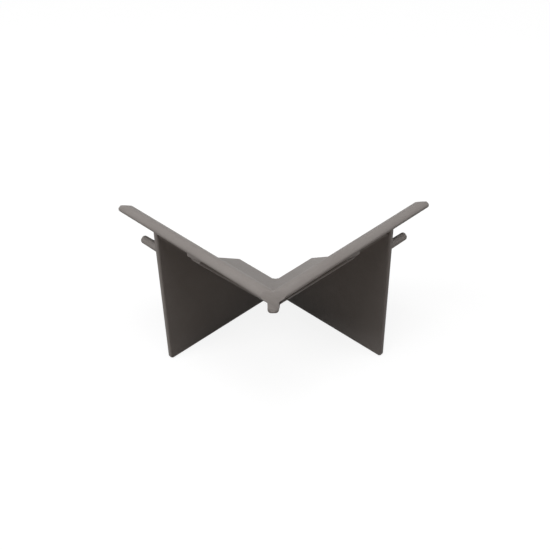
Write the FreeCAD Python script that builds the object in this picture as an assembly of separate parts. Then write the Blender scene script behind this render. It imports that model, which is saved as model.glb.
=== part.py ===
"""Inner corner cap for a triangular strip that seals a wall to a worktop.

The cap is one moulding.  Its origin is the inside corner of the room at worktop
level: the two walls leave it at 45 degrees to either side of +Y, and the
worktop is the plane z = 0.  One arm is built along its wall in local
coordinates (x along the wall, y away from the wall), turned by 45 degrees, and
mirrored in the plane x = 0 to give the other arm.
"""

import FreeCAD
import Part

import math
import os

# Cover plate: section square to the wall, in millimetres and degrees
FACE_THICKNESS = 1.7
FACE_ANGLE = 48.0
FACE_REACH = 24.65
TOE_RUN = 5.35
TOE_ANGLE = 30.0
TOE_HEIGHT = 2.8
KNEE_RADIUS = 2.0
TOP_EDGE_RADIUS = 1.2
UNDER_EDGE_RADIUS = 0.4
TOE_TOP_RADIUS = 0.4
TOE_UNDER_RADIUS = 0.3

# Cover plate: outline, and the rounding of its free end and of the valley
ARM_LENGTH = 34.8
TIP_RADIUS = 2.2
TOE_CORNER_RADIUS = 1.2
WALL_CORNER_RADIUS = 1.0
VALLEY_RADIUS = 0.65

# End webs
WEB_OFFSET = 25.0
WEB_THICKNESS = 0.8
WEB_FRONT_SETBACK = 1.65
WEB_CORNER_RADIUS = 0.6
WEB_INNER_EDGE_RADIUS = 0.3
WEB_OUTER_EDGE_RADIUS = 0.2

# Insertion flanges, which slide inside the strip
FLANGE_SLOT = 1.1
FLANGE_THICKNESS = 1.25
FLANGE_PROTRUSION = 4.5
FLANGE_WALL_CLEARANCE = 0.2
FLANGE_KNEE_SETBACK = 2.0
FLANGE_CORNER_RADIUS = 1.3
FLANGE_EDGE_RADIUS = 0.5

# Ribs under the cover plates
VALLEY_RIB_WIDTH = 1.5
VALLEY_RIB_DROP = 0.95
VALLEY_RIB_EDGE_RADIUS = 0.45
PLATE_RIB_OFFSET = 16.1
PLATE_RIB_WIDTH = 2.0
PLATE_RIB_DEPTH = 0.5
PLATE_RIB_EDGE_RADIUS = 0.35
RIB_WALL_CLEARANCE = 0.3
RIB_KNEE_SETBACK = 3.0

# Root rounding where webs and flanges leave their neighbours
ROOT_RADIUS = 0.4

# Depth to which the valley's rounding is sunk in the plates
VALLEY_SINK = 0.25

NODE = "inner_corner_cap"
WALL_TURN = 45.0
MARGIN = 1.0
TOUCH = 1e-4
UP = FreeCAD.Vector(0, 0, 1)
ORIGIN = FreeCAD.Vector(0, 0, 0)

FACE_SLOPE = math.radians(FACE_ANGLE)
TOE_SLOPE = math.radians(TOE_ANGLE)


def vec(x, y, z=0.0):
    """A point or direction."""
    return FreeCAD.Vector(x, y, z)


def rounded_wire(corners):
    """Close a wire through (point, radius) corners, each with a tangent arc."""
    count = len(corners)
    spans = []
    for index, (point, radius) in enumerate(corners):
        if radius <= 0.0:
            spans.append((point, None, point))
            continue
        before = (corners[index - 1][0] - point).normalize()
        after = (corners[(index + 1) % count][0] - point).normalize()
        half_angle = before.getAngle(after) / 2.0
        tangent = radius / math.tan(half_angle)
        bisector = (before + after).normalize()
        middle = point + bisector * (radius / math.sin(half_angle) - radius)
        spans.append((point + before * tangent, middle, point + after * tangent))
    edges = []
    for index, (start, middle, end) in enumerate(spans):
        if middle is not None:
            edges.append(Part.Arc(start, middle, end).toShape())
        following = spans[(index + 1) % count][0]
        if end.distanceToPoint(following) > TOUCH:
            edges.append(Part.LineSegment(end, following).toShape())
    return Part.Wire(edges)


def prism(corners, direction):
    """Extrude a closed outline of (point, radius) corners."""
    return Part.Face(rounded_wire(corners)).extrude(direction)


def rounded(solid, radius, wanted):
    """Round the edges of a solid whose end points all pass a test."""
    edges = [edge for edge in solid.Edges if all(wanted(v.Point) for v in edge.Vertexes)]
    return solid.makeFillet(radius, edges)


# Places on the section: y is the distance from the wall

DOWN_SLOPE = vec(0, math.cos(FACE_SLOPE), -math.sin(FACE_SLOPE))
FACE_NORMAL = vec(0, math.sin(FACE_SLOPE), math.cos(FACE_SLOPE))
DOWN_TOE = vec(0, math.cos(TOE_SLOPE), -math.sin(TOE_SLOPE))
TOE_NORMAL = vec(0, math.sin(TOE_SLOPE), math.cos(TOE_SLOPE))


def knee(depth=0.0):
    """Sharp knee between the slope and the toe, at a depth below the top."""
    top = vec(0, FACE_REACH - TOE_RUN, TOE_HEIGHT + TOE_RUN * math.tan(TOE_SLOPE))
    between = (FACE_NORMAL + TOE_NORMAL).normalize()
    return top - between * (depth / math.cos((FACE_SLOPE - TOE_SLOPE) / 2.0))


def slope_height():
    """Height at which the plane of the slope meets the wall."""
    return knee().z + knee().y * math.tan(FACE_SLOPE)


def wall_end():
    """Sharp top corner of the plate whose rounded end just touches the wall."""
    radius = UNDER_EDGE_RADIUS
    reach = radius * (1 - math.cos(FACE_SLOPE)) + (FACE_THICKNESS - radius) * math.sin(FACE_SLOPE)
    return vec(0, reach, slope_height() - reach * math.tan(FACE_SLOPE))


def wall_contact():
    """Centre of the lower rounding at the wall, level with the contact line."""
    radius = UNDER_EDGE_RADIUS
    return wall_end() + DOWN_SLOPE * radius - FACE_NORMAL * (FACE_THICKNESS - radius)


def run_clear_of_wall(depth, clearance):
    """Run down the slope at which a depth is a given distance from the wall."""
    return (clearance + depth * math.sin(FACE_SLOPE)) / math.cos(FACE_SLOPE)


def run_to_knee():
    """Run down the slope from the wall plane to the knee."""
    return knee().y / math.cos(FACE_SLOPE)


def knee_tangents():
    """Ends of the knee's rounding on the slope and on the toe."""
    run = KNEE_RADIUS * math.tan((FACE_SLOPE - TOE_SLOPE) / 2.0)
    return knee() - DOWN_SLOPE * run, knee() + DOWN_TOE * run


def edge_outline(place, reach):
    """Closed outline outside a plate edge, rounded on top and less below."""
    top = TOP_EDGE_RADIUS
    under = UNDER_EDGE_RADIUS
    share = 1 - math.sqrt(0.5)
    far = reach + 2 * MARGIN
    below = FACE_THICKNESS + MARGIN
    side = place(reach, FACE_THICKNESS - under)
    foot = place(reach - under, FACE_THICKNESS)
    path = [foot, place(reach - under, below), place(far, below), place(far, -MARGIN),
            place(reach - top, -MARGIN), place(reach - top, 0)]
    edges = [
        Part.Arc(path[-1], place(reach - top * share, top * share), place(reach, top)).toShape(),
        Part.LineSegment(place(reach, top), side).toShape(),
        Part.Arc(side, place(reach - under * share, FACE_THICKNESS - under * share), foot).toShape(),
    ]
    edges += [Part.LineSegment(start, end).toShape() for start, end in zip(path, path[1:])]
    return Part.Wire(edges)


def end_cutter():
    """Swept cutter that rounds the plate's free end."""
    start = wall_end() - DOWN_SLOPE * MARGIN
    before, after = knee_tangents()
    half_turn = (FACE_SLOPE - TOE_SLOPE) / 2.0
    between = (FACE_NORMAL + TOE_NORMAL).normalize()
    middle = knee() + between * (KNEE_RADIUS / math.cos(half_turn) - KNEE_RADIUS)
    finish = vec(0, FACE_REACH, TOE_HEIGHT) + DOWN_TOE * MARGIN
    path = Part.Wire([
        Part.LineSegment(start, before).toShape(),
        Part.Arc(before, middle, after).toShape(),
        Part.LineSegment(after, finish).toShape(),
    ])

    def place(x, depth):
        return vec(x, 0) + start - FACE_NORMAL * depth

    return path.makePipeShell([edge_outline(place, ARM_LENGTH)], True, True)


def tip_cutter():
    """Turned cutter that rounds the plate's corner between wall and free end."""
    corner = wall_end() + vec(ARM_LENGTH - TIP_RADIUS, 0) + DOWN_SLOPE * TIP_RADIUS

    def place(reach, depth):
        return corner + vec(reach, 0) - FACE_NORMAL * depth

    return Part.Face(edge_outline(place, TIP_RADIUS)).revolve(corner, FACE_NORMAL, -90)


def cover_plate():
    """Sloping plate with its gentler toe and its round edge against the wall."""
    toe_top = vec(0, FACE_REACH, TOE_HEIGHT)
    section = [
        (wall_end(), TOP_EDGE_RADIUS),
        (knee(), KNEE_RADIUS),
        (toe_top, TOE_TOP_RADIUS),
        (toe_top - TOE_NORMAL * FACE_THICKNESS, TOE_UNDER_RADIUS),
        (knee(FACE_THICKNESS), KNEE_RADIUS + FACE_THICKNESS),
        (wall_end() - FACE_NORMAL * FACE_THICKNESS, UNDER_EDGE_RADIUS),
    ]
    plate = prism(section, vec(ARM_LENGTH + MARGIN, 0)).cut([end_cutter(), tip_cutter()])
    far = ARM_LENGTH + 2 * MARGIN
    mitre = [(vec(0, 0, -MARGIN), 0), (vec(far, 0, -MARGIN), 0), (vec(far, far, -MARGIN), 0)]
    return plate.common(prism(mitre, UP * (slope_height() + 2 * MARGIN)))


def end_web():
    """Upright triangular wall that closes the end of the strip."""
    front = FACE_REACH - WEB_FRONT_SETBACK
    middle = FACE_THICKNESS / 2.0
    front_top = TOE_HEIGHT + WEB_FRONT_SETBACK * math.tan(TOE_SLOPE) - middle / math.cos(TOE_SLOPE)
    contact = wall_contact()
    outline = [
        (vec(0, 0, 0), WEB_CORNER_RADIUS),
        (vec(0, front, 0), WEB_CORNER_RADIUS),
        (vec(0, front, front_top), 0),
        (knee(middle), 0),
        (wall_end() + DOWN_SLOPE * TOP_EDGE_RADIUS - FACE_NORMAL * middle, 0),
        (vec(0, 0, contact.z), 0),
    ]
    web = prism(outline, vec(WEB_THICKNESS, 0))
    web = rounded(web, WEB_INNER_EDGE_RADIUS,
                  lambda p: p.x < TOUCH and (p.y < TOUCH or p.z < TOUCH))
    web = rounded(web, WEB_OUTER_EDGE_RADIUS,
                  lambda p: p.x > WEB_THICKNESS - TOUCH and (p.y < TOUCH or p.z < TOUCH))
    web.translate(vec(WEB_OFFSET - WEB_THICKNESS, 0))
    return web


def on_slope(solid):
    """Lay a solid drawn on the x-y plane onto the slope, +z outwards."""
    turn = FreeCAD.Rotation(vec(1, 0), -FACE_ANGLE)
    solid.Placement = FreeCAD.Placement(vec(0, 0, slope_height()), turn).multiply(solid.Placement)
    return solid


def slab(x_from, x_to, run_from, run_to, depth_from, depth_to, corner=0.0):
    """Slab parallel to the slope, with rounded corners at its far x end."""
    outline = [
        (vec(x_from, run_from, -depth_to), 0),
        (vec(x_to, run_from, -depth_to), corner),
        (vec(x_to, run_to, -depth_to), corner),
        (vec(x_from, run_to, -depth_to), 0),
    ]
    return prism(outline, UP * (depth_to - depth_from))


def insertion_flange():
    """Tongue beyond the web that slides under the face of the strip."""
    top = FACE_THICKNESS + FLANGE_SLOT
    half = FLANGE_THICKNESS / 2.0
    near = run_clear_of_wall(top + half, half + FLANGE_WALL_CLEARANCE) - half
    root = WEB_OFFSET - WEB_THICKNESS / 2.0
    tongue = slab(root, WEB_OFFSET + FLANGE_PROTRUSION, near, run_to_knee() - FLANGE_KNEE_SETBACK,
                  top, top + FLANGE_THICKNESS, FLANGE_CORNER_RADIUS)
    for depth in (top, top + FLANGE_THICKNESS):
        tongue = rounded(tongue, FLANGE_EDGE_RADIUS, lambda p: abs(p.z + depth) < TOUCH)
    return on_slope(tongue)


def plate_rib():
    """Low rib under the cover plate, square to the wall."""
    bottom = FACE_THICKNESS + PLATE_RIB_DEPTH
    half = PLATE_RIB_WIDTH / 2.0
    rib = slab(PLATE_RIB_OFFSET - half, PLATE_RIB_OFFSET + half,
               run_clear_of_wall(bottom, RIB_WALL_CLEARANCE), run_to_knee() - RIB_KNEE_SETBACK,
               FACE_THICKNESS / 2.0, bottom)
    return on_slope(rounded(rib, PLATE_RIB_EDGE_RADIUS, lambda p: p.z < TOUCH - bottom))


def cove(x, depth, side, below, run_from, run_to):
    """Concave rounding in the corner between a web face and a slab face."""
    sink = WEB_THICKNESS / 4.0
    sunk_x = x - side * sink
    sunk_z = -depth + below * sink
    end_x = x + side * ROOT_RADIUS
    end_z = -depth - below * ROOT_RADIUS
    hollow = ROOT_RADIUS * (1 - math.sqrt(0.5))
    arc = Part.Arc(vec(end_x, run_from, -depth),
                   vec(x + side * hollow, run_from, -depth - below * hollow),
                   vec(x, run_from, end_z)).toShape()
    path = [vec(x, run_from, end_z), vec(sunk_x, run_from, end_z), vec(sunk_x, run_from, sunk_z),
            vec(end_x, run_from, sunk_z), vec(end_x, run_from, -depth)]
    lines = [Part.LineSegment(a, b).toShape() for a, b in zip(path, path[1:])]
    return on_slope(Part.Face(Part.Wire([arc] + lines)).extrude(vec(0, run_to - run_from)))


def root_coves():
    """Coves where the web meets the cover plate and the insertion flange."""
    under = FACE_THICKNESS
    near = run_clear_of_wall(under + ROOT_RADIUS, RIB_WALL_CLEARANCE)
    far = run_to_knee() - FACE_THICKNESS
    coves = [
        cove(WEB_OFFSET, under, 1, 1, near, far),
        cove(WEB_OFFSET - WEB_THICKNESS, under, -1, 1, near, far),
    ]
    top = FACE_THICKNESS + FLANGE_SLOT
    bottom = top + FLANGE_THICKNESS
    near = run_clear_of_wall(bottom + ROOT_RADIUS, RIB_WALL_CLEARANCE)
    far = run_to_knee() - FLANGE_KNEE_SETBACK - FLANGE_CORNER_RADIUS
    coves.append(cove(WEB_OFFSET, top, 1, -1, near, far))
    coves.append(cove(WEB_OFFSET, bottom, 1, 1, near, far))
    return coves


def valley(point):
    """Place in the plane x = 0 where the two arms share a place of the section."""
    return vec(0, math.sqrt(2.0) * point.y, point.z)


def valley_rib():
    """Rib that stiffens the valley, seen as a round-ended lug at the wall corner."""
    line = (valley(DOWN_SLOPE)).normalize()
    square = vec(0, -line.z, line.y)
    under = valley(vec(0, 0, slope_height() - FACE_THICKNESS / math.cos(FACE_SLOPE)))
    half = VALLEY_RIB_WIDTH / 2.0
    top = under + square * (FACE_THICKNESS / 2.0)
    bottom = under - square * VALLEY_RIB_DROP
    outline = [
        (top - vec(half, 0), 0),
        (top + vec(half, 0), 0),
        (bottom + vec(half, 0), VALLEY_RIB_EDGE_RADIUS),
        (bottom - vec(half, 0), VALLEY_RIB_EDGE_RADIUS),
    ]
    length = valley(DOWN_SLOPE).Length * (run_to_knee() - RIB_KNEE_SETBACK)
    return prism(outline, line * length)


def valley_fill(start, end):
    """Filling that rounds a straight stretch of the valley, level in plan."""
    side = VALLEY_RADIUS / math.sqrt(2.0)
    sunk = vec(0, side - 2 * VALLEY_SINK)
    right = start + vec(side, side)
    left = start + vec(-side, side)
    hollow = start + vec(0, VALLEY_RADIUS * (math.sqrt(2.0) - 1))
    path = [right, start + vec(side, 0) + sunk, start - vec(0, 2 * VALLEY_SINK),
            start + vec(-side, 0) + sunk, left]
    lines = [Part.LineSegment(a, b).toShape() for a, b in zip(path, path[1:])]
    return Part.Face(Part.Wire([Part.Arc(left, hollow, right).toShape()] + lines)).extrude(end - start)


def valley_fills():
    """Fillings along the slope, the knee and the toe."""
    before, after = knee_tangents()
    stops = [wall_end() + DOWN_SLOPE * TOP_EDGE_RADIUS, before, after,
             vec(0, FACE_REACH, TOE_HEIGHT) + DOWN_TOE * MARGIN]
    return [valley_fill(valley(a), valley(b)) for a, b in zip(stops, stops[1:])]


def plan_outline():
    """Outline of the cap seen from above, a rounded V, as an upright prism."""
    along = vec(1, 1).normalize()
    across = vec(-1, 1).normalize()
    tip = along * ARM_LENGTH
    toe = tip + across * FACE_REACH
    front = (along + across) * FACE_REACH

    def mirrored(point):
        return vec(-point.x, point.y)

    outline = [
        (ORIGIN, WALL_CORNER_RADIUS),
        (tip, 0),
        (toe, TOE_CORNER_RADIUS),
        (front, VALLEY_RADIUS),
        (mirrored(toe), TOE_CORNER_RADIUS),
        (mirrored(tip), 0),
    ]
    solid = prism(outline, UP * (slope_height() + 2 * MARGIN))
    solid.translate(UP * -MARGIN)
    return solid


def build_cap():
    """Join both arms and the valley rib into the one moulding."""
    arm = cover_plate().multiFuse([end_web(), insertion_flange(), plate_rib()] + root_coves())
    arm.rotate(ORIGIN, UP, WALL_TURN)
    cap = arm.multiFuse([arm.mirror(ORIGIN, vec(1, 0)), valley_rib()] + valley_fills())
    return cap.common(plan_outline()).removeSplitter()


def main():
    """Write the one node of the part."""
    os.makedirs("parts", exist_ok=True)
    cap = build_cap()
    print(NODE, "solids", len(cap.Solids), "valid", cap.isValid(), "volume", round(cap.Volume, 2))
    print("box", cap.BoundBox)
    cap.Solids[0].exportStep("parts/" + NODE + ".step")


main()
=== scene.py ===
"""Studio scene of a moulded inner corner cap, seen from the corner side and above.

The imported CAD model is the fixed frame.  The cap is one moulding: a copy of its CAD
shape gets the slanted face of the corner lug, the ends of the two plate ribs and the
slanted tops of the free ends, and a procedural finish of warm grey satin plastic.
"""

import logging
import math
from collections.abc import Callable
from dataclasses import dataclass, field
from enum import Enum

import bpy
from mathutils import Matrix, Vector


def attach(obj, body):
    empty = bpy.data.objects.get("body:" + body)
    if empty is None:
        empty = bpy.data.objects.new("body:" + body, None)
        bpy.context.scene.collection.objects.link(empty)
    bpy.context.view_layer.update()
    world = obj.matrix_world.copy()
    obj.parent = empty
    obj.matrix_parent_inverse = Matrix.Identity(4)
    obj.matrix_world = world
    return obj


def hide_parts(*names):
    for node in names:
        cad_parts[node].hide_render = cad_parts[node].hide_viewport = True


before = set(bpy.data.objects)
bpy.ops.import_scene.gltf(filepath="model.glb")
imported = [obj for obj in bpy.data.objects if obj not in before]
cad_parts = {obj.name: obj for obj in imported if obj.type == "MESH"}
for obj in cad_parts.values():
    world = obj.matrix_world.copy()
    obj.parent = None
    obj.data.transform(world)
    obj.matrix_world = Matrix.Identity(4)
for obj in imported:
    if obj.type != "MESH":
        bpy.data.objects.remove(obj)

LOG = logging.getLogger("corner_cap")
CAP_NODE = "inner_corner_cap"
PHOTO_SIDE_PX = 550.0
MILLIMETRE = 0.001

Color = tuple[float, float, float, float]
Point = tuple[float, float, float]


class SocketKind(Enum):
    """Kinds of socket that the shader groups use."""

    VALUE = "NodeSocketFloat"
    COLOR = "NodeSocketColor"
    VECTOR = "NodeSocketVector"


class Seen(Enum):
    """Light Path outputs whose rays see the white surroundings."""

    CAMERA = "Is Camera Ray"
    GLOSSY = "Is Glossy Ray"
    TRANSMISSION = "Is Transmission Ray"


class Wiring:
    """Adds nodes to one node tree and joins them."""

    def __init__(self, tree: bpy.types.NodeTree) -> None:
        """Take the tree to work in.

        Args:
            tree: Node tree of a material, a world or a group.
        """
        self.tree = tree

    def node(self, kind: str, settings: dict | None = None, **sockets: object) -> bpy.types.Node:
        """Add one node.

        Args:
            kind: Blender's name of the node type, without its Shader prefix.
            settings: Properties of the node itself.
            **sockets: Input sockets, with spaces written as underscores.  A socket
                of another node is linked, anything else is set as a value.

        Returns:
            The new node.
        """
        made = self.tree.nodes.new("ShaderNode" + kind)
        for name, value in (settings or {}).items():
            setattr(made, name, value)
        for name, value in sockets.items():
            self.feed(made.inputs[name.replace("_", " ")], value)
        return made

    def feed(self, socket: bpy.types.NodeSocket, value: object) -> None:
        """Link or set one input socket.

        Args:
            socket: Input socket to feed.
            value: Output socket of another node, or a plain value.
        """
        if isinstance(value, bpy.types.NodeSocket):
            self.tree.links.new(value, socket)
        else:
            socket.default_value = value

    def math(self, operation: str, first: object, second: object = 0.0) -> bpy.types.NodeSocket:
        """Add a Math node.

        Args:
            operation: Blender's name of the operation.
            first: First value or socket.
            second: Second value or socket.

        Returns:
            The node's output socket.
        """
        made = self.node("Math", {"operation": operation})
        self.feed(made.inputs[0], first)
        self.feed(made.inputs[1], second)
        return made.outputs["Value"]

    def ramp(self, value: object, low: object, high: object) -> bpy.types.NodeSocket:
        """Spread a value smoothly between 0 and 1.

        Args:
            value: Value or socket to spread.
            low: Value that becomes 0.
            high: Value that becomes 1.

        Returns:
            The result's output socket.
        """
        made = self.node("MapRange", {"interpolation_type": "SMOOTHSTEP"},
                         Value=value, From_Min=low, From_Max=high)
        return made.outputs["Result"]

    def blend(self, share: object, first: object, second: object) -> bpy.types.NodeSocket:
        """Blend two colours.

        Args:
            share: Share of the second colour.
            first: First colour.
            second: Second colour.

        Returns:
            The blended colour's output socket.
        """
        made = self.node("Mix", {"data_type": "RGBA"})
        self.feed(made.inputs[0], share)
        self.feed(made.inputs[6], first)
        self.feed(made.inputs[7], second)
        return made.outputs[2]


@dataclass(frozen=True)
class ShaderGroup:
    """A shader node group with named inputs and outputs."""

    name: str
    inputs: dict[str, SocketKind]
    outputs: dict[str, SocketKind]

    def start(self) -> tuple[bpy.types.NodeTree, Wiring,
                             bpy.types.NodeOutputs, bpy.types.NodeInputs]:
        """Make the empty group.

        Returns:
            The group, its wiring, the sockets that bring values in and those that
            take them out.
        """
        group = bpy.data.node_groups.new(self.name, "ShaderNodeTree")
        for name, kind in self.inputs.items():
            group.interface.new_socket(name, in_out="INPUT", socket_type=kind.value)
        for name, kind in self.outputs.items():
            group.interface.new_socket(name, in_out="OUTPUT", socket_type=kind.value)
        into = group.nodes.new("NodeGroupInput")
        out = group.nodes.new("NodeGroupOutput")
        return group, Wiring(group), into.outputs, out.inputs


def mould_grain() -> bpy.types.NodeTree:
    """Texture that an etched mould leaves: fine grain with shallow pits.

    Returns:
        A group that takes coordinates, grain and wave sizes, and puts out the
        height of the surface and a mask of the pits.
    """
    group, wire, into, out = ShaderGroup(
        "mould_grain",
        {"Vector": SocketKind.VECTOR, "Grain Size": SocketKind.VALUE,
         "Wave Size": SocketKind.VALUE},
        {"Height": SocketKind.VALUE, "Pits": SocketKind.VALUE},
    ).start()
    grain_share, pit_share, wave_share = 0.6, 0.4, 3.0
    pits_to_grains = 0.6
    pit_floor, pit_rim = 0.15, 0.6
    per_grain = wire.math("DIVIDE", 1.0, into["Grain Size"])
    per_wave = wire.math("DIVIDE", 1.0, into["Wave Size"])
    grain = wire.node("TexNoise", Vector=into["Vector"], Scale=per_grain, Detail=2.0, Roughness=0.6)
    pits = wire.node("TexVoronoi", {"feature": "SMOOTH_F1"}, Vector=into["Vector"],
                     Scale=wire.math("MULTIPLY", per_grain, pits_to_grains), Smoothness=0.4)
    waves = wire.node("TexNoise", Vector=into["Vector"], Scale=per_wave, Detail=1.0)
    bowl = wire.ramp(pits.outputs["Distance"], pit_floor, pit_rim)
    fine = wire.math("ADD", wire.math("MULTIPLY", grain.outputs["Fac"], grain_share),
                     wire.math("MULTIPLY", bowl, pit_share))
    broad = wire.math("MULTIPLY", waves.outputs["Fac"], wave_share)
    wire.feed(out["Height"], wire.math("ADD", fine, broad))
    wire.feed(out["Pits"], wire.math("SUBTRACT", 1.0, bowl))
    return group


def flow_tone() -> bpy.types.NodeTree:
    """Slight change of tone that the flow of the melt leaves in a moulding.

    Returns:
        A group that takes coordinates, two tones and the sizes of clouds and
        specks, and puts out the colour.
    """
    group, wire, into, out = ShaderGroup(
        "flow_tone",
        {"Vector": SocketKind.VECTOR, "Deep": SocketKind.COLOR, "Pale": SocketKind.COLOR,
         "Cloud Size": SocketKind.VALUE, "Speck Size": SocketKind.VALUE},
        {"Color": SocketKind.COLOR},
    ).start()
    cloud_share, speck_share = 0.7, 0.3
    cloud_low, cloud_high = 0.3, 0.7
    speck_low, speck_high = 0.35, 0.65
    clouds = wire.node("TexNoise", Vector=into["Vector"], Detail=3.0, Distortion=0.6,
                       Scale=wire.math("DIVIDE", 1.0, into["Cloud Size"]))
    specks = wire.node("TexNoise", Vector=into["Vector"], Detail=2.0,
                       Scale=wire.math("DIVIDE", 1.0, into["Speck Size"]))
    cloudy = wire.ramp(clouds.outputs["Fac"], cloud_low, cloud_high)
    specky = wire.ramp(specks.outputs["Fac"], speck_low, speck_high)
    share = wire.math("ADD", wire.math("MULTIPLY", cloudy, cloud_share),
                      wire.math("MULTIPLY", specky, speck_share))
    wire.feed(out["Color"], wire.blend(share, into["Deep"], into["Pale"]))
    return group


def edge_rub_and_painted_highlight() -> bpy.types.NodeTree:
    """Edges that handling has rubbed smoother, made paler partly by rub wear and partly by a
    painted highlight.

    Returns:
        A group that takes coordinates, the width of the rubbed and highlighted band and how broken
        it is, and puts out a mask that is 1 on a fully rubbed edge with its full painted highlight.
    """
    group, wire, into, out = ShaderGroup(
        "edge_rub_and_painted_highlight",
        {"Vector": SocketKind.VECTOR, "Width": SocketKind.VALUE, "Patch Size": SocketKind.VALUE},
        {"Mask": SocketKind.VALUE},
    ).start()
    turn_low, turn_high = 0.06, 0.3
    patch_low, patch_high = 0.25, 0.6
    flat = wire.node("NewGeometry")
    softened = wire.node("Bevel", {"samples": 8}, Radius=into["Width"])
    agree = wire.node("VectorMath", {"operation": "DOT_PRODUCT"})
    wire.feed(agree.inputs[0], softened.outputs["Normal"])
    wire.feed(agree.inputs[1], flat.outputs["Normal"])
    turn = wire.math("SUBTRACT", 1.0, agree.outputs["Value"])
    edge = wire.ramp(turn, turn_low, turn_high)
    patches = wire.node("TexNoise", Vector=into["Vector"], Detail=3.0, Roughness=0.6,
                        Scale=wire.math("DIVIDE", 1.0, into["Patch Size"]))
    rub_and_highlight_patches = wire.ramp(patches.outputs["Fac"], patch_low, patch_high)
    wire.feed(out["Mask"], wire.math("MULTIPLY", edge, rub_and_highlight_patches))
    return group


@dataclass(frozen=True)
class SatinPlastic:
    """Warm grey moulded plastic with a fine etched texture and paler edges, partly rub wear and
    partly a painted highlight.
    """

    name: str = "satin_warm_grey_plastic"
    deep: Color = (0.278, 0.253, 0.238, 1.0)
    pale: Color = (0.302, 0.277, 0.262, 1.0)
    # Paler edge colour: partly rub wear, partly a painted highlight along the rounded edges.
    rubbed_and_highlight: Color = (0.36, 0.335, 0.32, 1.0)
    specular_level: float = 0.10
    roughness_low: float = 0.44
    roughness_high: float = 0.56
    grain_size: float = 0.14 * MILLIMETRE
    grain_depth: float = 0.010 * MILLIMETRE
    wave_size: float = 3.0 * MILLIMETRE
    cloud_size: float = 5.0 * MILLIMETRE
    speck_size: float = 0.35 * MILLIMETRE
    rub_and_highlight_width: float = 0.35 * MILLIMETRE
    rub_and_highlight_patch: float = 1.6 * MILLIMETRE
    rub_and_highlight_share: float = 0.6
    rub_polish: float = 0.08

    def material(self) -> bpy.types.Material:
        """Build the material.

        Returns:
            The finished material.
        """
        made = bpy.data.materials.new(self.name)
        made.use_nodes = True
        wire = Wiring(made.node_tree)
        shader = made.node_tree.nodes["Principled BSDF"]
        place = wire.node("TexCoord").outputs["Object"]
        grain = wire.node("Group", {"node_tree": mould_grain()}, Vector=place,
                          Grain_Size=self.grain_size, Wave_Size=self.wave_size)
        tone = wire.node("Group", {"node_tree": flow_tone()}, Vector=place, Deep=self.deep,
                         Pale=self.pale, Cloud_Size=self.cloud_size, Speck_Size=self.speck_size)
        rub_and_highlight = wire.node("Group", {"node_tree": edge_rub_and_painted_highlight()}, Vector=place,
                        Width=self.rub_and_highlight_width, Patch_Size=self.rub_and_highlight_patch)
        # Edges get the paler colour: partly rub wear, partly a painted highlight.
        color = wire.blend(wire.math("MULTIPLY", rub_and_highlight.outputs["Mask"], self.rub_and_highlight_share),
                           tone.outputs["Color"], self.rubbed_and_highlight)
        etched = wire.node("MapRange", Value=grain.outputs["Pits"],
                           To_Min=self.roughness_low, To_Max=self.roughness_high)
        polish = wire.math("MULTIPLY", rub_and_highlight.outputs["Mask"], self.rub_polish)
        roughness = wire.math("SUBTRACT", etched.outputs["Result"], polish)
        bump = wire.node("Bump", Strength=1.0, Distance=self.grain_depth,
                         Height=grain.outputs["Height"])
        wire.feed(shader.inputs["Base Color"], color)
        wire.feed(shader.inputs["Roughness"], roughness)
        wire.feed(shader.inputs["Normal"], bump.outputs["Normal"])
        shader.inputs["Specular IOR Level"].default_value = self.specular_level
        return made


@dataclass
class ArmFrame:
    """Places on one arm of the cap, measured along and away from its wall."""

    side: int
    turn: float = math.radians(45.0)

    def point(self, along: float, away: float, height: float) -> Vector:
        """Turn a place on the arm into the shared frame.

        Args:
            along: Distance from the corner along the wall, in millimetres.
            away: Distance from the wall, in millimetres.
            height: Height above the worktop, in millimetres.

        Returns:
            The place in metres.
        """
        across = along * math.cos(self.turn) - away * math.sin(self.turn)
        ahead = along * math.sin(self.turn) + away * math.cos(self.turn)
        return Vector((self.side * across, ahead, height)) * MILLIMETRE


class Combining(Enum):
    """Ways in which a second solid changes the cap."""

    JOIN = "UNION"
    CUT = "DIFFERENCE"


def take_up(piece: bpy.types.Object) -> None:
    """Make a piece the only selected object and the active one.

    Args:
        piece: Object that the next operators act on.
    """
    bpy.ops.object.select_all(action="DESELECT")
    piece.select_set(True)
    bpy.context.view_layer.objects.active = piece


def block_of(corner: Callable[[bool, bool, bool], Vector]) -> bpy.types.Object:
    """Model a closed block of six faces from its eight corners.

    Args:
        corner: Gives the place of the corner that is far or near along the arm,
            at the back or front of it, and high or low.

    Returns:
        The block, with its faces pointing outwards.
    """
    bpy.ops.object.select_all(action="DESELECT")
    bpy.ops.mesh.primitive_cube_add(size=1.0, location=(0.0, 0.0, 0.0))
    block = bpy.context.object
    for vertex in block.data.vertices:
        far, back, high = (c > 0 for c in vertex.co)
        vertex.co = corner(far, back, high)
    bpy.ops.object.mode_set(mode="EDIT")
    bpy.ops.mesh.select_all(action="SELECT")
    bpy.ops.mesh.normals_make_consistent(inside=False)
    bpy.ops.object.mode_set(mode="OBJECT")
    return block


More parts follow.
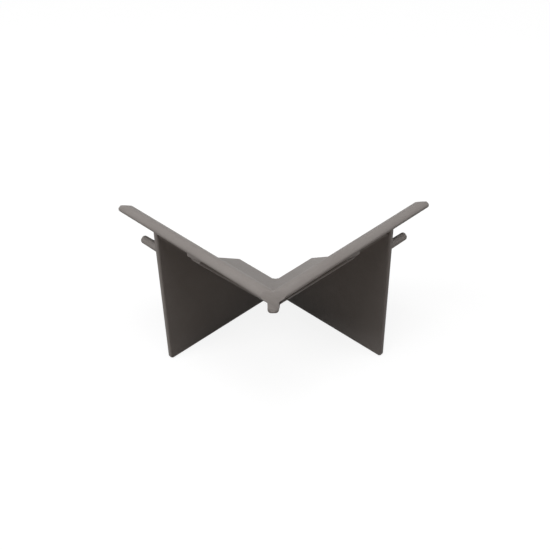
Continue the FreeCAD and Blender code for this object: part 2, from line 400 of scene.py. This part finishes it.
@dataclass(frozen=True)
class RibEnd:
    """Wedge in which the rib under a cover plate ends, flush with the wall.

    Its sizes are in millimetres in the arm's own frame, apart from the rounding.
    """

    near: float = 14.2
    far: float = 17.4
    top: float = 25.12
    near_foot: float = 24.6
    far_foot: float = 24.05
    front_at_foot: float = 0.0
    front_at_top: float = 0.06
    back: float = 1.2
    rounding: float = 0.2 * MILLIMETRE
    rounding_steps: int = 4

    def build(self, arm: ArmFrame) -> bpy.types.Object:
        """Model the wedge.

        Args:
            arm: Arm that carries the rib.

        Returns:
            The wedge, closed, with rounded edges.
        """
        wedge = block_of(lambda far, back, high: self.corner(arm, far, back, high))
        bpy.ops.object.mode_set(mode="EDIT")
        bpy.ops.mesh.select_all(action="SELECT")
        bpy.ops.mesh.bevel(offset=self.rounding, segments=self.rounding_steps, affect="EDGES")
        bpy.ops.object.mode_set(mode="OBJECT")
        return wedge

    def corner(self, arm: ArmFrame, far: bool, back: bool, high: bool) -> Vector:
        """Place one corner of the wedge.

        Args:
            arm: Arm that carries the rib.
            far: Whether the corner is at the end far from the valley.
            back: Whether it lies inside, away from the wall.
            high: Whether it lies in the cover plate.

        Returns:
            The corner's place in metres.
        """
        foot = self.far_foot if far else self.near_foot
        front = self.front_at_top if high else self.front_at_foot
        return arm.point(self.far if far else self.near,
                         self.back if back else front,
                         self.top if high else foot)


@dataclass(frozen=True)
class TipSlant:
    """Slant that lowers the top of a free end, in millimetres in the arm's frame."""

    start: float = 32.0
    top: float = 26.53
    fall_along: float = 0.47
    fall_away: float = 0.584
    before: float = -1.5
    beyond: float = 4.0
    in_wall: float = -1.0
    in_room: float = 4.0
    ceiling: float = 29.0

    def build(self, arm: ArmFrame) -> bpy.types.Object:
        """Model the block that is cut away.

        Args:
            arm: Arm whose free end is cut.

        Returns:
            The block, closed.
        """
        return block_of(lambda far, back, high: self.corner(arm, far, back, high))

    def corner(self, arm: ArmFrame, far: bool, back: bool, high: bool) -> Vector:
        """Place one corner of the block.

        Args:
            arm: Arm whose free end is cut.
            far: Whether the corner is past the free end.
            back: Whether it lies on the room side.
            high: Whether it lies above the cap.

        Returns:
            The corner's place in metres.
        """
        along = self.beyond if far else self.before
        away = self.in_room if back else self.in_wall
        slant = self.top - self.fall_along * along - self.fall_away * away
        return arm.point(self.start + along, away, self.ceiling if high else slant)


@dataclass(frozen=True)
class LugFace:
    """Slanted wall face of the lug under the corner, with rounded sides."""

    tilt: float = math.radians(38.15)
    place: Point = (0.0, 0.414 * MILLIMETRE, 23.45 * MILLIMETRE)
    half_width: float = 0.9 * MILLIMETRE
    top: float = 24.9 * MILLIMETRE
    rounding: float = 0.4 * MILLIMETRE
    rounding_steps: int = 5
    seam_distance: float = 2e-6

    def build(self, cap: bpy.types.Object) -> None:
        """Cut the face and round its sides.

        Args:
            cap: The cap.
        """
        take_up(cap)
        outward = (0.0, -math.cos(self.tilt), math.sin(self.tilt))
        bpy.ops.object.mode_set(mode="EDIT")
        bpy.ops.mesh.select_mode(type="EDGE")
        bpy.ops.mesh.select_all(action="SELECT")
        bpy.ops.mesh.bisect(plane_co=self.place, plane_no=outward,
                            use_fill=True, clear_outer=True)
        bpy.ops.object.mode_set(mode="OBJECT")
        for edge in cap.data.edges:
            ends = [cap.data.vertices[i].co for i in edge.vertices]
            edge.select = edge.select and all(self.on_lug(end) for end in ends)
        bpy.ops.object.mode_set(mode="EDIT")
        bpy.ops.mesh.bevel(offset=self.rounding, segments=self.rounding_steps,
                           affect="EDGES", clamp_overlap=True)
        self.close_seams()
        bpy.ops.object.mode_set(mode="OBJECT")

    def close_seams(self) -> None:
        """Merge the slivers of the mesh in edit mode and drop its loose edges."""
        bpy.ops.mesh.select_all(action="SELECT")
        bpy.ops.mesh.remove_doubles(threshold=self.seam_distance)
        bpy.ops.mesh.dissolve_degenerate(threshold=self.seam_distance)
        bpy.ops.mesh.delete_loose(use_verts=True, use_edges=True, use_faces=False)

    def on_lug(self, point: Vector) -> bool:
        """Tell whether a point of the cut belongs to the lug."""
        return abs(point.x) < self.half_width and point.z < self.top


@dataclass
class CornerCap:
    """The moulded cap: its CAD shape with the last forms of the real moulding."""

    finish: SatinPlastic = field(default_factory=SatinPlastic)
    rib_end: RibEnd = field(default_factory=RibEnd)
    tip_slant: TipSlant = field(default_factory=TipSlant)
    lug_face: LugFace = field(default_factory=LugFace)
    merge_distance: float = 1e-7
    smooth_angle: float = math.radians(36.0)

    def build(self) -> bpy.types.Object:
        """Finish and dress the cap.

        Returns:
            The finished cap.
        """
        cap = self.copy_of_node()
        for arm in (ArmFrame(side=1), ArmFrame(side=-1)):
            self.combine(cap, self.rib_end.build(arm), Combining.JOIN)
            self.combine(cap, self.tip_slant.build(arm), Combining.CUT)
        self.lug_face.build(cap)
        take_up(cap)
        bpy.ops.object.shade_smooth_by_angle(angle=self.smooth_angle)
        cap.data.materials.clear()
        cap.data.materials.append(self.finish.material())
        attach(cap, "root")
        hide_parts(CAP_NODE)
        return cap

    def copy_of_node(self) -> bpy.types.Object:
        """Copy the CAD node and merge its loose triangles.

        Returns:
            The copy, with a mesh of its own.
        """
        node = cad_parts[CAP_NODE]
        cap = bpy.data.objects.new("corner_cap", node.data.copy())
        bpy.context.scene.collection.objects.link(cap)
        take_up(cap)
        bpy.ops.mesh.customdata_custom_splitnormals_clear()
        bpy.ops.object.mode_set(mode="EDIT")
        bpy.ops.mesh.select_all(action="SELECT")
        bpy.ops.mesh.remove_doubles(threshold=self.merge_distance)
        bpy.ops.mesh.mark_sharp(clear=True)
        bpy.ops.object.mode_set(mode="OBJECT")
        return cap

    def combine(self, cap: bpy.types.Object, extra: bpy.types.Object, way: Combining) -> None:
        """Join a closed solid to the cap or cut it away, and remove the solid.

        Args:
            cap: The cap.
            extra: Solid to join or to cut away.
            way: What the solid does to the cap.
        """
        take_up(cap)
        modifier = cap.modifiers.new("combine", "BOOLEAN")
        modifier.operation = way.value
        modifier.solver = "EXACT"
        modifier.object = extra
        bpy.ops.object.modifier_apply(modifier=modifier.name)
        bpy.data.objects.remove(extra)


@dataclass
class PhotoCamera:
    """Camera at the place that the photograph was taken from."""

    place: Point = (0.00128, -0.08257, 0.09137)
    pitch_down: float = 36.707
    yaw: float = -0.661
    roll: float = -1.076
    focal_px: float = 819.93
    sensor_mm: float = 36.0
    clip_start: float = 1.0 * MILLIMETRE
    clip_end: float = 10.0

    def build(self) -> bpy.types.Object:
        """Add the camera and make it the scene's own.

        Returns:
            The camera object.
        """
        data = bpy.data.cameras.new("photo_camera")
        data.sensor_width = self.sensor_mm
        data.lens = self.focal_px * self.sensor_mm / PHOTO_SIDE_PX
        data.clip_start = self.clip_start
        data.clip_end = self.clip_end
        camera = bpy.data.objects.new("photo_camera", data)
        bpy.context.scene.collection.objects.link(camera)
        camera.matrix_world = self.matrix()
        bpy.context.scene.camera = camera
        return camera

    def matrix(self) -> Matrix:
        """World matrix of the camera.

        Returns:
            A 4x4 matrix whose columns are right, up, back and place.
        """
        pitch = math.radians(self.pitch_down)
        forward = Vector((0.0, math.cos(pitch), -math.sin(pitch)))
        right = Vector((1.0, 0.0, 0.0))
        up = right.cross(forward)
        level = Matrix((right, -up, forward))
        turn = Matrix.Rotation(math.radians(self.roll), 3, "Z")
        heading = Matrix.Rotation(math.radians(self.yaw), 3, "Z")
        rows = turn @ level @ heading
        axes = (rows[0], -rows[1], -rows[2])
        world = Matrix.Identity(4)
        for column, axis in enumerate(axes):
            for row in range(3):
                world[row][column] = axis[row]
        world.translation = Vector(self.place)
        return world


@dataclass(frozen=True)
class SoftLamp:
    """Square soft lamp, placed by its direction from the cap."""

    name: str
    azimuth: float
    height: float
    watts: float
    tint: tuple[float, float, float] = (1.0, 1.0, 1.0)
    side: float = 0.3
    distance: float = 0.6

    def build(self, aim: Point) -> bpy.types.Object:
        """Hang the lamp.

        Args:
            aim: Point that the lamp faces.

        Returns:
            The lamp object.
        """
        turn, rise = math.radians(self.azimuth), math.radians(self.height)
        direction = Vector((math.sin(turn) * math.cos(rise),
                            -math.cos(turn) * math.cos(rise), math.sin(rise)))
        data = bpy.data.lights.new(self.name, "AREA")
        data.size = self.side
        data.energy = self.watts
        data.color = self.tint
        lamp = bpy.data.objects.new(self.name, data)
        bpy.context.scene.collection.objects.link(lamp)
        lamp.location = Vector(aim) + direction * self.distance
        lamp.rotation_mode = "QUATERNION"
        lamp.rotation_quaternion = (-direction).to_track_quat("-Z", "Y")
        return lamp


@dataclass
class Studio:
    """White floor and surroundings, a little soft light all round and soft lamps."""

    aim: Point = (0.0, 0.02, 0.012)
    floor_side: float = 1.2
    bounce: Color = (0.27, 0.24, 0.22, 1.0)
    paper: Color = (0.2, 0.2, 0.2, 1.0)
    glow: Color = (0.87, 0.87, 0.87, 1.0)
    sky: float = 0.02
    lamps: tuple[SoftLamp, ...] = (
        SoftLamp("key", -60.0, 45.0, 1.5),
        SoftLamp("fill", 80.0, 45.0, 0.65),
        SoftLamp("top", 0.0, 80.0, 1.7),
    )

    def build(self) -> None:
        """Add floor, surroundings and lamps."""
        self.lay_floor()
        self.surround()
        for lamp in self.lamps:
            lamp.build(self.aim)

    def seen_share(self, wire: Wiring) -> bpy.types.NodeSocket:
        """Tell rays that show the surroundings from rays that light the cap.

        Args:
            wire: Wiring of the material or world.

        Returns:
            A socket that is 1 on camera, glossy and transmission rays.
        """
        path = wire.node("LightPath").outputs
        either = wire.math("MAXIMUM", path[Seen.CAMERA.value], path[Seen.GLOSSY.value])
        return wire.math("MAXIMUM", either, path[Seen.TRANSMISSION.value])

    def lay_floor(self) -> bpy.types.Object:
        """Lay the floor under the cap.

        Returns:
            The floor, which is no part of the object.
        """
        bpy.ops.object.select_all(action="DESELECT")
        bpy.ops.mesh.primitive_plane_add(size=self.floor_side, location=(0.0, 0.0, 0.0))
        floor = bpy.context.object
        floor.name = "floor"
        made = bpy.data.materials.new("white_paper")
        made.use_nodes = True
        made.node_tree.nodes.clear()
        wire = Wiring(made.node_tree)
        glow = wire.node("Emission", Color=self.glow, Strength=1.0).outputs["Emission"]
        shaded = wire.node("BsdfDiffuse", Color=self.paper).outputs["BSDF"]
        bounce = wire.node("BsdfDiffuse", Color=self.bounce).outputs["BSDF"]
        shown = wire.node("AddShader")
        wire.feed(shown.inputs[0], glow)
        wire.feed(shown.inputs[1], shaded)
        surface = self.mixed(wire, self.seen_share(wire), bounce, shown.outputs["Shader"])
        wire.node("OutputMaterial", Surface=surface)
        floor.data.materials.append(made)
        return floor

    def surround(self) -> None:
        """Give the world a little soft light and a white backdrop."""
        world = bpy.data.worlds.new("studio")
        bpy.context.scene.world = world
        world.use_nodes = True
        world.node_tree.nodes.clear()
        wire = Wiring(world.node_tree)
        light = wire.node("Background", Color=(1.0, 1.0, 1.0, 1.0), Strength=self.sky)
        white = wire.node("Background", Color=(1.0, 1.0, 1.0, 1.0), Strength=1.0)
        surface = self.mixed(wire, self.seen_share(wire), light.outputs["Background"],
                             white.outputs["Background"])
        wire.node("OutputWorld", Surface=surface)

    def mixed(self, wire: Wiring, share: object, first: object,
              second: object) -> bpy.types.NodeSocket:
        """Mix two shaders.

        Args:
            wire: Wiring of the material or world.
            share: Share of the second shader.
            first: First shader.
            second: Second shader.

        Returns:
            The mixed shader's output socket.
        """
        made = wire.node("MixShader")
        for socket, value in zip(made.inputs, (share, first, second)):
            wire.feed(socket, value)
        return made.outputs["Shader"]


def main() -> None:
    """Build the scene piece by piece."""
    logging.basicConfig(level=logging.INFO, format="%(message)s")
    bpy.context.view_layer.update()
    camera = PhotoCamera().build()
    LOG.info("placed %s", camera.name)
    cap = CornerCap().build()
    LOG.info("dressed %s", cap.name)
    Studio().build()
    LOG.info("lit the studio")
    bpy.context.scene.view_settings.view_transform = "Standard"


if __name__ == "__main__":
    main()
